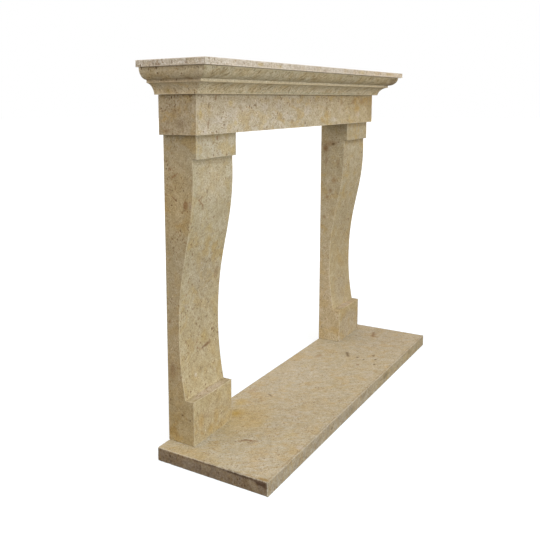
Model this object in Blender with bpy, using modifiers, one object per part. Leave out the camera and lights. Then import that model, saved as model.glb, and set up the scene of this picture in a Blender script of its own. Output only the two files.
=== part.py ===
"""Solid limestone fireplace mantel on its hearth slab.

World frame: metres, +Z up, the front faces -Y and X runs along the shelf. The origin is the middle of the
hearth's underside. Everything backs onto one wall plane, the hearth's back edge.
"""
import math

import bmesh
import bpy
from mathutils import Matrix, Vector

# Driving dimensions, in metres
JOINT = 0.0003  # mortar-thin gap that every two touching stones keep

HEARTH_LENGTH = 1.455
HEARTH_DEPTH = 0.382
HEARTH_THICKNESS = 0.044
HEARTH_ARRIS = 0.003

OPENING_WIDTH = 0.896
LEG_WIDTH = 0.220
LEG_HEIGHT = 0.948
PLINTH_HEIGHT = 0.141
PLINTH_DEPTH = 0.095
FOOT_DEPTH = 0.065  # where the scroll lands on the plinth
WAIST_DEPTH = 0.0455  # the scroll's thinnest place
WAIST_RISE = 0.200  # above the plinth
BELLY_DEPTH = 0.1045  # the scroll's fullest place
BELLY_DROP = 0.045  # below the capital
NECK_DEPTH = 0.1035  # where the scroll runs under the capital
CAPITAL_DEPTH = 0.117
CAPITAL_HEIGHT = 0.070

FRIEZE_HEIGHT = 0.115
FRIEZE_END_OVERHANG = 0.020
FRIEZE_FRONT_OVERHANG = 0.015

CORNICE_FOOT_PROJECTION = 0.0174  # from the frieze's face
CAVETTO_HEIGHT = 0.0325
CAVETTO_SWEEP = math.radians(77)
FILLET_PROJECTION = 0.052
FILLET_HEIGHT = 0.0085
OVOLO_HEIGHT = 0.033
OVOLO_PROJECTION = 0.0857

SHELF_THICKNESS = 0.019
SHELF_OVERHANG = 0.014

SOFT_ARRIS = 0.0012  # rubbed edges of the legs, frieze and shelf
BELLY_HANDLE = 0.39  # pull of the scroll's curve at the belly, as a share of the belly-to-waist drop
WAIST_HANDLE = 0.48  # the same at the waist
SCROLL_STEPS = 14
MOULDING_STEPS = 12

# Places that follow from them
back_y = HEARTH_DEPTH / 2
leg_base_z = HEARTH_THICKNESS + JOINT
frieze_base_z = leg_base_z + LEG_HEIGHT + JOINT
cornice_base_z = frieze_base_z + FRIEZE_HEIGHT + JOINT
cornice_height = CAVETTO_HEIGHT + FILLET_HEIGHT + OVOLO_HEIGHT
shelf_base_z = cornice_base_z + cornice_height + JOINT
leg_middle_x = (OPENING_WIDTH + LEG_WIDTH) / 2
frieze_half_length = OPENING_WIDTH / 2 + LEG_WIDTH + FRIEZE_END_OVERHANG
frieze_depth = CAPITAL_DEPTH + FRIEZE_FRONT_OVERHANG


def make_collection(name):
    collection = bpy.data.collections.new(name)
    bpy.context.scene.collection.children.link(collection)
    return collection


def stone(name, colour, roughness):
    material = bpy.data.materials.new(name)
    material.use_nodes = True
    shader = material.node_tree.nodes["Principled BSDF"]
    shader.inputs["Base Color"].default_value = (*colour, 1)
    shader.inputs["Roughness"].default_value = roughness
    shader.inputs["Metallic"].default_value = 0
    return material


def add_object(name, mesh, collection, material=None):
    item = bpy.data.objects.new(name, mesh)
    collection.objects.link(item)
    if material:
        mesh.materials.append(material)
    return item


def soften(item, width):
    """Rubs every sharp arris of a stone down to a small chamfer."""
    bevel = item.modifiers.new("arris", "BEVEL")
    bevel.width = width
    bevel.segments = 2
    bevel.limit_method = "ANGLE"
    bevel.angle_limit = math.radians(40)


def block(name, low, high, arris, material):
    """A squared stone between two corners."""
    low, high = Vector(low), Vector(high)
    form = bmesh.new()
    bmesh.ops.create_cube(form, size=1)
    bmesh.ops.scale(form, vec=high - low, verts=form.verts)
    mesh = bpy.data.meshes.new(name)
    form.to_mesh(mesh)
    form.free()
    item = add_object(name, mesh, stones, material)
    item.location = (low + high) / 2
    soften(item, arris)
    return item


def run_of(name, curve, outward, base, length, material):
    """Carries a flat outline sideways through the given length, with its middle at base.

    The outline's first axis points outward and its second one up.
    """
    curve.dimensions = "2D"
    curve.fill_mode = "BOTH"
    curve.extrude = length / 2
    outline = bpy.data.objects.new(name + "_outline", curve)
    bpy.context.scene.collection.objects.link(outline)
    out, up = Vector(outward), Vector((0, 0, 1))
    outline.matrix_world = Matrix.Translation(base) @ Matrix((out, up, out.cross(up))).transposed().to_4x4()
    bpy.context.view_layer.update()
    evaluated = outline.evaluated_get(bpy.context.evaluated_depsgraph_get())
    mesh = bpy.data.meshes.new_from_object(evaluated)
    mesh.name = name
    form = bmesh.new()
    form.from_mesh(mesh)
    bmesh.ops.remove_doubles(form, verts=form.verts, dist=0.00001)
    bmesh.ops.recalc_face_normals(form, faces=form.faces)
    form.to_mesh(mesh)
    form.free()
    mesh.materials.clear()
    item = add_object(name, mesh, stones, material)
    item.matrix_world = outline.matrix_world.copy()
    bpy.data.objects.remove(outline)
    return item


def leg_outline():
    """The leg's side view: plinth block, scroll and capital block, (depth from the wall, height)."""
    capital_z = LEG_HEIGHT - CAPITAL_HEIGHT
    belly = Vector((BELLY_DEPTH, capital_z - BELLY_DROP, 0))
    waist = Vector((WAIST_DEPTH, PLINTH_HEIGHT + WAIST_RISE, 0))
    foot = Vector((FOOT_DEPTH, PLINTH_HEIGHT, 0))
    neck = Vector((NECK_DEPTH, capital_z, 0))
    up = Vector((0, 1, 0))
    drop = belly.y - waist.y
    # below the waist the scroll swings out as a parabola, with its elbow half way down
    elbow = Vector((WAIST_DEPTH, (waist.y + foot.y) / 2, 0))
    knots = [
        ((0, 0, 0), None, None),
        ((PLINTH_DEPTH, 0, 0), None, None),
        ((PLINTH_DEPTH, PLINTH_HEIGHT, 0), None, None),
        (foot, None, foot.lerp(elbow, 2 / 3)),
        (waist, waist.lerp(elbow, 2 / 3), waist + up * drop * WAIST_HANDLE),
        (belly, belly - up * drop * BELLY_HANDLE, belly + up * BELLY_DROP / 3),
        (neck, neck - up * BELLY_DROP / 3, None),
        ((CAPITAL_DEPTH, capital_z, 0), None, None),
        ((CAPITAL_DEPTH, LEG_HEIGHT, 0), None, None),
        ((0, LEG_HEIGHT, 0), None, None),
    ]
    curve = bpy.data.curves.new("leg", "CURVE")
    curve.resolution_u = SCROLL_STEPS
    spline = curve.splines.new("BEZIER")
    spline.bezier_points.add(len(knots) - 1)
    spline.use_cyclic_u = True
    for point, (place, before, after) in zip(spline.bezier_points, knots):
        point.co = place
        point.handle_left_type = "FREE" if before else "VECTOR"
        point.handle_right_type = "FREE" if after else "VECTOR"
        if before:
            point.handle_left = before
        if after:
            point.handle_right = after
    return curve


def cavetto():
    """The hollow, from the cornice's foot up to the fillet, as an arc of the given sweep."""
    start = Vector((CORNICE_FOOT_PROJECTION, 0))
    end = Vector((FILLET_PROJECTION, CAVETTO_HEIGHT))
    chord = end - start
    across = Vector((chord.y, -chord.x)).normalized()
    centre = (start + end) / 2 + across * chord.length / 2 / math.tan(CAVETTO_SWEEP / 2)
    radius = (start - centre).length
    first = math.atan2(start.y - centre.y, start.x - centre.x)
    turns = (first - CAVETTO_SWEEP * i / MOULDING_STEPS for i in range(MOULDING_STEPS + 1))
    return [(centre.x + radius * math.cos(a), centre.y + radius * math.sin(a)) for a in turns]


def ovolo():
    """The quarter round, from the top of the fillet up to the shelf."""
    reach = OVOLO_PROJECTION - FILLET_PROJECTION
    low = CAVETTO_HEIGHT + FILLET_HEIGHT
    turns = (math.pi / 2 * i / MOULDING_STEPS for i in range(MOULDING_STEPS + 1))
    return [(FILLET_PROJECTION + reach * math.sin(a), low + OVOLO_HEIGHT * (1 - math.cos(a))) for a in turns]


def cornice_outline():
    """The cornice's section: cavetto, fillet and ovolo, (distance from the frieze's face, height)."""
    points = [(-frieze_depth, 0), *cavetto(), *ovolo(), (-frieze_depth, cornice_height)]
    curve = bpy.data.curves.new("cornice", "CURVE")
    spline = curve.splines.new("POLY")
    spline.points.add(len(points) - 1)
    spline.use_cyclic_u = True
    for point, (out, height) in zip(spline.points, points):
        point.co = (out, height, 0, 1)
    return curve


def mitre_cut(item, side, keep):
    """Cuts a stone at the 45 degree joint on one side (-1 left, 1 right).

    keep is 1 for the front length and -1 for the return.
    """
    towards_front = Vector((-side, -1, 0)).normalized()
    cutter_size = 4 * (frieze_depth + OVOLO_PROJECTION)
    corner = Vector((side * frieze_half_length, back_y - frieze_depth, cornice_base_z + cornice_height / 2))
    mesh = bpy.data.meshes.new("mitre")
    form = bmesh.new()
    bmesh.ops.create_cube(form, size=cutter_size)
    form.to_mesh(mesh)
    form.free()
    cutter = add_object(f"mitre_cutter_{item.name}_{'left' if side < 0 else 'right'}", mesh, cutters)
    cutter.rotation_euler.z = math.atan2(towards_front.y, towards_front.x)
    cutter.location = corner - keep * towards_front * (cutter_size - JOINT) / 2
    cutter.hide_render = True
    cutter.display_type = "WIRE"
    cut = item.modifiers.new("mitre", "BOOLEAN")
    cut.operation = "DIFFERENCE"
    cut.solver = "EXACT"
    cut.object = cutter


def make_hearth():
    material = stone("hearth_limestone", (0.50, 0.42, 0.27), 0.55)
    low = (-HEARTH_LENGTH / 2, -back_y, 0)
    high = (HEARTH_LENGTH / 2, back_y, HEARTH_THICKNESS)
    block("hearth_slab", low, high, HEARTH_ARRIS, material)


def make_legs():
    for name, side in (("leg_left", -1), ("leg_right", 1)):
        material = stone(name + "_limestone", (0.44, 0.37, 0.24), 0.6)
        base = (side * leg_middle_x, back_y, leg_base_z)
        leg = run_of(name, leg_outline(), (0, -1, 0), base, LEG_WIDTH, material)
        soften(leg, SOFT_ARRIS)


def make_frieze():
    material = stone("frieze_limestone", (0.47, 0.40, 0.26), 0.6)
    low = (-frieze_half_length, back_y - frieze_depth, frieze_base_z)
    high = (frieze_half_length, back_y, frieze_base_z + FRIEZE_HEIGHT)
    block("frieze", low, high, SOFT_ARRIS, material)


def make_cornice():
    corner_reach = frieze_half_length + OVOLO_PROJECTION
    front = run_of(
        "cornice_front",
        cornice_outline(),
        (0, -1, 0),
        (0, back_y - frieze_depth, cornice_base_z),
        2 * corner_reach,
        stone("cornice_front_limestone", (0.36, 0.32, 0.19), 0.6),
    )
    return_length = frieze_depth + OVOLO_PROJECTION
    for name, side in (("cornice_return_left", -1), ("cornice_return_right", 1)):
        mitre_cut(front, side, 1)
        piece = run_of(
            name,
            cornice_outline(),
            (side, 0, 0),
            (side * frieze_half_length, back_y - return_length / 2, cornice_base_z),
            return_length,
            stone(name + "_limestone", (0.34, 0.27, 0.16), 0.6),
        )
        mitre_cut(piece, side, -1)


def make_shelf():
    material = stone("shelf_limestone", (0.55, 0.47, 0.34), 0.5)
    reach = OVOLO_PROJECTION + SHELF_OVERHANG
    low = (-frieze_half_length - reach, back_y - frieze_depth - reach, shelf_base_z)
    high = (frieze_half_length + reach, back_y, shelf_base_z + SHELF_THICKNESS)
    block("mantel_shelf", low, high, SOFT_ARRIS, material)


for old in list(bpy.data.objects):
    bpy.data.objects.remove(old)
stones = make_collection("fireplace_mantel")
cutters = make_collection("mitre_cutters")
make_hearth()
make_legs()
make_frieze()
make_cornice()
make_shelf()
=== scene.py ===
import math
import time

import bpy
import numpy as np
from mathutils import Matrix, Vector


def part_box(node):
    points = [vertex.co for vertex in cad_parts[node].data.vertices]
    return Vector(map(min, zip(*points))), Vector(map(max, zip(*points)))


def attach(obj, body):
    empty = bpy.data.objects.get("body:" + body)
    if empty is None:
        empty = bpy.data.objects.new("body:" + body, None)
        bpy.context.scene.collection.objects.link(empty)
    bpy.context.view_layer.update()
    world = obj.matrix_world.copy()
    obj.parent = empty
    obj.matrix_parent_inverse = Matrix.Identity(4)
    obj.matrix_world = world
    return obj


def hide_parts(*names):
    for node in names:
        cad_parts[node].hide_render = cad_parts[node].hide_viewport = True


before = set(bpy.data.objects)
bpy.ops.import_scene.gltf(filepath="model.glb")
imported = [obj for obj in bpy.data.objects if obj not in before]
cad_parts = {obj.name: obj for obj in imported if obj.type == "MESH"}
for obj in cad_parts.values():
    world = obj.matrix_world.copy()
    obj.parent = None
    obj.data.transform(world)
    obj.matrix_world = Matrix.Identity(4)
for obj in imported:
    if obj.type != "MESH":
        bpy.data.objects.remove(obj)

startTime = time.time()
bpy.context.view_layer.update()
scene = bpy.context.scene
scene.view_settings.view_transform = "Standard"


def report(words):
    print(f"{time.time() - startTime:6.1f} s  {words}")


# Camera, light and floor

cameraSettings = {
    "place": (-2.3169, -1.0515, 1.0828),
    "turn": 56.56,  # degrees from +Y towards +X
    "tilt": -8.50,
    "roll": 0.64,
    "lens": 46.71,  # mm on a 36 mm wide frame
    "shift": (0.1156, -0.1154),  # the picture was cropped off its own centre
}


def makeCamera(settings):
    data = bpy.data.cameras.new("camera")
    data.sensor_width = 36
    data.lens = settings["lens"]
    data.shift_x, data.shift_y = settings["shift"]
    data.clip_start, data.clip_end = 0.05, 200
    camera = bpy.data.objects.new("camera", data)
    scene.collection.objects.link(camera)
    turned = Matrix.Rotation(-math.radians(settings["turn"]), 4, "Z")
    tilted = Matrix.Rotation(math.radians(90 + settings["tilt"]), 4, "X")
    rolled = Matrix.Rotation(-math.radians(settings["roll"]), 4, "Z")
    camera.matrix_world = Matrix.Translation(settings["place"]) @ turned @ tilted @ rolled
    scene.camera = camera


lightSettings = {
    "skyStrength": 0.867,
    "skyColour": (1.0, 0.79, 0.60),
    # each soft box: place, the point it faces, width and height in metres, watts, colour
    "boxes": {
        "frontHigh": ((-1.6, -3.4, 5.4), (0.0, 0.0, 0.6), (3.2, 2.2), 177, (0.80, 1.0, 1.20)),
        "frontLevel": ((-2.6, -5.8, 1.6), (0.0, 0.0, 0.6), (3.5, 1.6), 36, (0.75, 1.0, 1.0)),
        "frontLow": ((-0.8, -3.2, 0.35), (0.0, 0.0, 1.0), (4.0, 0.6), 60, (0.97, 1.0, 1.02)),
        "leftBack": ((-3.2, 2.8, 2.2), (0.3, 0.0, 0.4), (2.4, 2.0), 38, (0.95, 1.0, 1.0)),
    },
}


def makeLights(settings):
    world = bpy.data.worlds.new("studio")
    scene.world = world
    world.use_nodes = True
    tree = world.node_tree
    tree.nodes.clear()
    soft = addNode(tree, "Background", {0: (*settings["skyColour"], 1), 1: settings["skyStrength"]})
    backdrop = addNode(tree, "Background", {0: (1, 1, 1, 1)})
    fromCamera = addNode(tree, "LightPath").outputs["Is Camera Ray"]
    mix = addNode(tree, "MixShader", {0: fromCamera, 1: soft.outputs[0], 2: backdrop.outputs[0]})
    addNode(tree, "OutputWorld", {0: mix.outputs[0]})
    for name, (place, target, (width, height), watts, colour) in settings["boxes"].items():
        data = bpy.data.lights.new(name, "AREA")
        data.shape = "RECTANGLE"
        data.size, data.size_y = width, height
        data.energy = watts
        data.color = colour
        box = bpy.data.objects.new(name, data)
        scene.collection.objects.link(box)
        facing = (Vector(target) - Vector(place)).to_track_quat("-Z", "Y")
        box.matrix_world = Matrix.Translation(place) @ facing.to_matrix().to_4x4()
        box.visible_camera = False


floorSettings = {
    "halfSize": 40.0,
    "colour": (0.25, 0.31, 0.385, 1),  # cool enough to look neutral under the warm sky
    "roughness": 0.9,
    "specular": 0.1,
    "glow": 0.80,  # lifts the floor to near white by the object
    "glowFrom": 0.5,  # metres from the middle, where the white cove starts to take over
    "glowFull": 2.2,
    "bounce": (0.16, 0.14, 0.11, 1),  # what the floor gives back to the stones
}


# Short ways to write nodes

def setInputs(tree, node, inputs):
    # each input is linked to another node's output or gets a value of its own
    for key, value in inputs.items():
        if isinstance(value, bpy.types.NodeSocket):
            tree.links.new(value, node.inputs[key])
        else:
            node.inputs[key].default_value = value


def addNode(tree, kind, inputs=None, **values):
    node = tree.nodes.new("ShaderNode" + kind)
    for name, value in values.items():
        setattr(node, name, value)
    setInputs(tree, node, inputs or {})
    return node


def maths(tree, operation, first, second=0.0):
    return addNode(tree, "Math", {0: first, 1: second}, operation=operation).outputs[0]


def times(tree, first, second):
    return maths(tree, "MULTIPLY", first, second)


def vectorMaths(tree, operation, first, second=(0, 0, 0)):
    inputs = {0: first, "Scale" if operation == "SCALE" else 1: second}
    node = addNode(tree, "VectorMath", inputs, operation=operation)
    return node.outputs["Value" if operation in ("LENGTH", "DOT_PRODUCT") else "Vector"]


def between(tree, value, low, high, toLow=0.0, toHigh=1.0):
    # a soft step: toLow below low, toHigh above high, a smooth curve in the middle
    inputs = {"Value": value, "From Min": low, "From Max": high, "To Min": toLow, "To Max": toHigh}
    return addNode(tree, "MapRange", inputs, interpolation_type="SMOOTHSTEP").outputs[0]


def blend(tree, share, first, second, way="MIX"):
    return addNode(tree, "Mix", {0: share, 6: first, 7: second}, data_type="RGBA", blend_type=way).outputs[2]


def noise(tree, place, scale, detail=2.0, roughness=0.5, distortion=0.0, output="Fac"):
    inputs = {"Vector": place, "Scale": scale, "Detail": detail, "Roughness": roughness,
              "Distortion": distortion}
    return addNode(tree, "TexNoise", inputs, noise_dimensions="3D").outputs[output]


def pushed(tree, place, scale, detail, roughness, reach):
    # the place, moved by a noise's colour less one half, times the reach
    push = noise(tree, place, scale, detail, roughness, 0.0, "Color")
    push = vectorMaths(tree, "SUBTRACT", push, (0.5, 0.5, 0.5))
    return vectorMaths(tree, "ADD", place, vectorMaths(tree, "SCALE", push, reach))


def newGroup(name, inputs, outputs):
    # inputs and outputs: the labels of each kind of socket
    group = bpy.data.node_groups.new(name, "ShaderNodeTree")
    for direction, sockets in (("INPUT", inputs), ("OUTPUT", outputs)):
        for kind, labels in sockets.items():
            for label in labels:
                group.interface.new_socket(label, in_out=direction, socket_type="NodeSocket" + kind)
    return group, group.nodes.new("NodeGroupInput").outputs, group.nodes.new("NodeGroupOutput").inputs


def useGroup(tree, group, inputs):
    node = tree.nodes.new("ShaderNodeGroup")
    node.node_tree = group
    setInputs(tree, node, inputs)
    return node.outputs


def newMaterial(name):
    material = bpy.data.materials.new(name)
    material.use_nodes = True
    tree = material.node_tree
    return material, tree, tree.nodes["Principled BSDF"]


def makeFloor(settings):
    half = settings["halfSize"]
    corners = [(-half, -half, 0), (half, -half, 0), (half, half, 0), (-half, half, 0)]
    mesh = bpy.data.meshes.new("floor")
    mesh.from_pydata(corners, [], [(0, 1, 2, 3)])
    floor = bpy.data.objects.new("floor", mesh)
    scene.collection.objects.link(floor)
    material, tree, shader = newMaterial("paleFloor")
    # far from the object the floor glows plain white, like the sweep of a studio cove
    place = addNode(tree, "TexCoord").outputs["Object"]
    away = vectorMaths(tree, "LENGTH", place)
    glow = between(tree, away, settings["glowFrom"], settings["glowFull"], settings["glow"], 1.0)
    white = blend(tree, glow, (0, 0, 0, 1), (1, 1, 1, 1))
    setInputs(tree, shader, {
        "Base Color": settings["colour"], "Roughness": settings["roughness"],
        "Specular IOR Level": settings["specular"], "Emission Color": white, "Emission Strength": 1.0})
    # the stones see a duller, warmer floor than the camera does
    bounce = addNode(tree, "BsdfDiffuse", {"Color": settings["bounce"]})
    fromCamera = addNode(tree, "LightPath").outputs["Is Camera Ray"]
    mix = addNode(tree, "MixShader", {0: fromCamera, 1: bounce.outputs[0], 2: shader.outputs[0]})
    tree.links.new(mix.outputs[0], tree.nodes["Material Output"].inputs[0])
    mesh.materials.append(material)


makeCamera(cameraSettings)
makeLights(lightSettings)
makeFloor(floorSettings)
report("camera, lights and floor")


# Stones by formula: each is a section (out from a wall line, height) carried along a straight run

def spread(low, high, pitch, fine=0.0006, growth=1.35):
    # places from low to high: close together at both ends, then wider by a constant ratio up to the pitch
    half = (high - low) / 2
    mostSteps = 800
    reach = np.cumsum(np.minimum(fine * growth ** np.arange(mostSteps), pitch))
    reach = reach[: np.searchsorted(reach, half) + 1]
    near = np.concatenate([[0], reach * half / reach[-1]])
    return np.concatenate([low + near, (high - near[:-1])[::-1]])


def alongPath(corners, pitch):
    # points carried along a polyline, spread between its two ends
    corners = np.asarray(corners, float)
    reach = np.concatenate([[0], np.cumsum(np.linalg.norm(np.diff(corners, axis=0), axis=1))])
    places = spread(0, reach[-1], pitch)
    return np.stack([np.interp(places, reach, corners[:, axis]) for axis in (0, 1)], axis=1)


def joinPieces(pieces, pitch):
    # one chain from several pieces, and the row where each piece ends
    chain = [alongPath(pieces[0], pitch)] + [alongPath(piece, pitch)[1:] for piece in pieces[1:]]
    return np.concatenate(chain), np.cumsum([len(part) for part in chain]) - 1


def bezier(start, pull, counterPull, end, steps=60):
    # cubic curve from start to end, leaving towards pull and arriving from counterPull
    t = np.linspace(0, 1, steps)[:, None]
    start, pull, counterPull, end = (np.asarray(point, float) for point in (start, pull, counterPull, end))
    return (1 - t) ** 3 * start + 3 * t * (1 - t) ** 2 * pull + 3 * t**2 * (1 - t) * counterPull + t**3 * end


def latticeShell(counts):
    # the outer faces of a block of cells: whole-number places, and four-cornered faces wound outward
    faces = []
    farRing = ((0, 0), (1, 0), (1, 1), (0, 1))
    nearRing = ((0, 0), (0, 1), (1, 1), (1, 0))
    for axis in range(3):
        u, v = (axis + 1) % 3, (axis + 2) % 3
        first, second = np.meshgrid(range(counts[u]), range(counts[v]), indexing="ij")
        first, second = first.ravel(), second.ravel()
        for end, ring in ((counts[axis], farRing), (0, nearRing)):
            face = np.zeros((len(first), 4, 3), int)
            face[..., axis] = end
            for corner, (stepU, stepV) in enumerate(ring):
                face[:, corner, u] = first + stepU
                face[:, corner, v] = second + stepV
            faces.append(face)
    size = np.array(counts) + 1
    codes = np.ravel_multi_index(np.concatenate(faces).reshape(-1, 3).T, size)
    unique, index = np.unique(codes, return_inverse=True)
    return np.stack(np.unravel_index(unique, size), axis=1), index.reshape(-1, 4)


def nearestOnRing(points, ring):
    # for each point, the nearest place on a closed chain and how far it is
    span = np.roll(ring, -1, axis=0) - ring
    share = ((points[:, None] - ring) * span).sum(axis=2) / (span**2).sum(axis=1)
    place = ring + np.clip(share, 0, 1)[..., None] * span
    gap = np.linalg.norm(points[:, None] - place, axis=2)
    rows, best = np.arange(len(points)), gap.argmin(axis=1)
    return place[rows, best], gap[rows, best]


def shrinkRing(ring, width):
    # a closed chain that turns left: each corner moves inward along its half angle until both of its sides
    # lie a width further in
    along = np.roll(ring, -1, axis=0) - ring
    inward = np.stack([-along[:, 1], along[:, 0]], axis=1) / np.linalg.norm(along, axis=1)[:, None]
    before = np.roll(inward, 1, axis=0)
    return ring + width * (inward + before) / (1 + (inward * before).sum(axis=1))[:, None]


def carriedStone(run, path, back, shares, arris, cornerRows, roundEnds=True):
    # A shell is stretched between the wall line and the front path of a section, and carried along the run.
    # Each vertex then moves to a ball of the arris radius that rolls around inside the stone, which rounds
    # every outward arris and leaves flat faces as they are. Besides the (run, out, height) points and the
    # faces it gives each vertex's outward direction and its distance from the nearest arris.
    weight = shares[:, None, None]
    section = back * (1 - weight) + path * weight
    ring = np.concatenate([back[:1], path, back[-1:]])
    flat = section.reshape(-1, 2)
    inset = nearestOnRing(flat, ring)[1]
    core = nearestOnRing(flat, shrinkRing(ring, arris))[0]
    core = np.where((inset < arris)[:, None], core, flat).reshape(section.shape)
    corners = np.concatenate([back[:1], path[cornerRows], back[-1:]])
    cornerGap = np.linalg.norm(section[:, :, None] - corners, axis=3).min(axis=2)
    places, faces = latticeShell((len(run) - 1, len(path) - 1, len(shares) - 1))
    i, k, j = places.T
    point = np.column_stack([run[i], section[j, k]])
    middle = np.column_stack([run[i], core[j, k]])
    inset = inset.reshape(section.shape[:2])[j, k]
    arrisGap = np.maximum(inset, cornerGap[j, k])
    if roundEnds:
        middle[:, 0] = np.clip(run[i], run[0] + arris, run[-1] - arris)
        endGap = np.minimum(run[i] - run[0], run[-1] - run[i])
        arrisGap = np.minimum(np.maximum(endGap, inset), arrisGap)
    outward = point - middle
    length = np.linalg.norm(outward, axis=1)[:, None]
    outward /= np.maximum(length, 1e-9)
    # where the ends stay square, their inner vertices keep their depth below the outline
    reach = arris if roundEnds else np.maximum(arris - inset, 0)[:, None]
    point = np.where(length > 1e-9, middle + reach * outward, point)
    return point, faces, outward, arrisGap


def addPiece(name, points, faces, attributes, material, node):
    # puts whole arrays into a mesh and hands the piece to the frame
    points = np.clip(points, *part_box(node))  # a chip's rim stays within the stone's own box
    mesh = bpy.data.meshes.new(name)
    mesh.vertices.add(len(points))
    mesh.vertices.foreach_set("co", points.astype(np.float32).ravel())
    mesh.loops.add(faces.size)
    mesh.loops.foreach_set("vertex_index", faces.astype(np.int32).ravel())
    mesh.polygons.add(len(faces))
    mesh.polygons.foreach_set("loop_start", np.arange(0, faces.size, 4, dtype=np.int32))
    for label, values in attributes.items():
        layer = mesh.attributes.new(label, "FLOAT", "POINT")
        layer.data.foreach_set("value", values.astype(np.float32))
    mesh.update(calc_edges=True)
    mesh.validate()
    mesh.shade_smooth()
    mesh.materials.append(material)
    piece = bpy.data.objects.new(name, mesh)
    scene.collection.objects.link(piece)
    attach(piece, "root")
    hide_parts(node)
    report(f"{name}: {2 * len(faces)} triangles")


def scoop(points, centre, radius):
    # a chip: what lies inside a ball moves out to its surface, which leaves a shallow hollow
    away = points - centre
    gap = np.linalg.norm(away, axis=1)
    hit = gap < radius
    points[hit] = centre + away[hit] * (radius / np.maximum(gap[hit], 1e-6))[:, None]


diagonalLimit = 0.80  # where the outward direction has no greater part, two faces meet


def chipArrises(points, outward, arrisGap, settings):
    # small chips struck at random places on the arrises, each as a ball that bites a little into the stone;
    # only where two faces meet, so that a ball lies outside both
    draw = np.random.default_rng(settings["seed"])
    diagonal = np.abs(outward).max(axis=1) < diagonalLimit
    near = np.flatnonzero((arrisGap < settings["onArris"]) & diagonal)
    chosen = draw.choice(near, settings["count"])
    radii = draw.uniform(*settings["radius"], settings["count"])
    bites = radii * draw.uniform(*settings["bite"], settings["count"])
    centres = points[chosen] + outward[chosen] * (radii - bites)[:, None]
    for centre, radius in zip(centres, radii):
        scoop(points, centre, radius)


# Looks of the stone: shared node groups

bodyTones = ("base", "pale", "ochre", "brown")
bodyAmounts = ("cloudSize", "paleAmount", "ochreAmount", "gritAmount", "mottleAmount", "speckAmount",
               "fleckAmount", "pitAmount")
# each noise: shift of its place, scale per metre (per cloud for the first two), detail, roughness, the noise
# values where its soft step starts and ends, and what it gives there
bodyNoises = {
    "pale": ((0, 0, 0), 1.0, 3.0, 0.5, 0.44, 0.60),
    "ochre": ((3.1, 1.7, 5.3), 0.55, 4.0, 0.6, 0.48, 0.64),
    "broad": ((0, 0, 0), 4.5, 3.0, 0.5, 0.42, 0.62, 0.55, 1.15),
    "cluster": ((4.4, 0.9, 2.6), 13.0, 3.0, 0.6, 0.40, 0.58, 0.45, 1.0),
    "specks": ((7.7, 2.2, 0.4), 170.0, 2.0, 0.5, 0.61, 0.66),
    "sand": ((0, 0, 0), 340.0, 2.0, 0.6, 0.34, 0.66, -0.75, 0.75),
    "grit": ((5.0, 3.0, 1.0), 150.0, 3.0, 0.65, 0.34, 0.66, -0.5, 0.5),
    "mottle": ((0, 0, 0), 42.0, 4.0, 0.6, 0.34, 0.66, -1.0, 1.0),
}
# round marks: cells per metre, share of the cells that have one, smallest radius in cells and its growth
bodyMarks = {
    "grains": (125.0, 0.5, 0.06, 0.14),
    "flecks": (30.0, 0.25, 0.02, 0.12),
    "pits": (112.0, 0.80, 0.09, 0.19),
}
cloudWarp = (0.6, 1.4)  # scale and reach of the push that bends the clouds, in clouds
markEdge = 0.035  # half the soft edge of a round mark, in cells
keptStep = (1.0, 1.04)  # a cell has a mark where its random value is above these, less the share kept
sandHeight = 0.25  # how far sand and grit stand out, as a share of a pit's depth
whiteGrain = (0.60, 0.53, 0.40, 1)
# the pits' dark floors: their real brown fill, and painted shade inside them
pitFloorAndShade = (0.155, 0.085, 0.033, 1)
warmSwing = (1.0, 1.12, 1.40)  # the dark grains are warm: blue swings more than red


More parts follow.
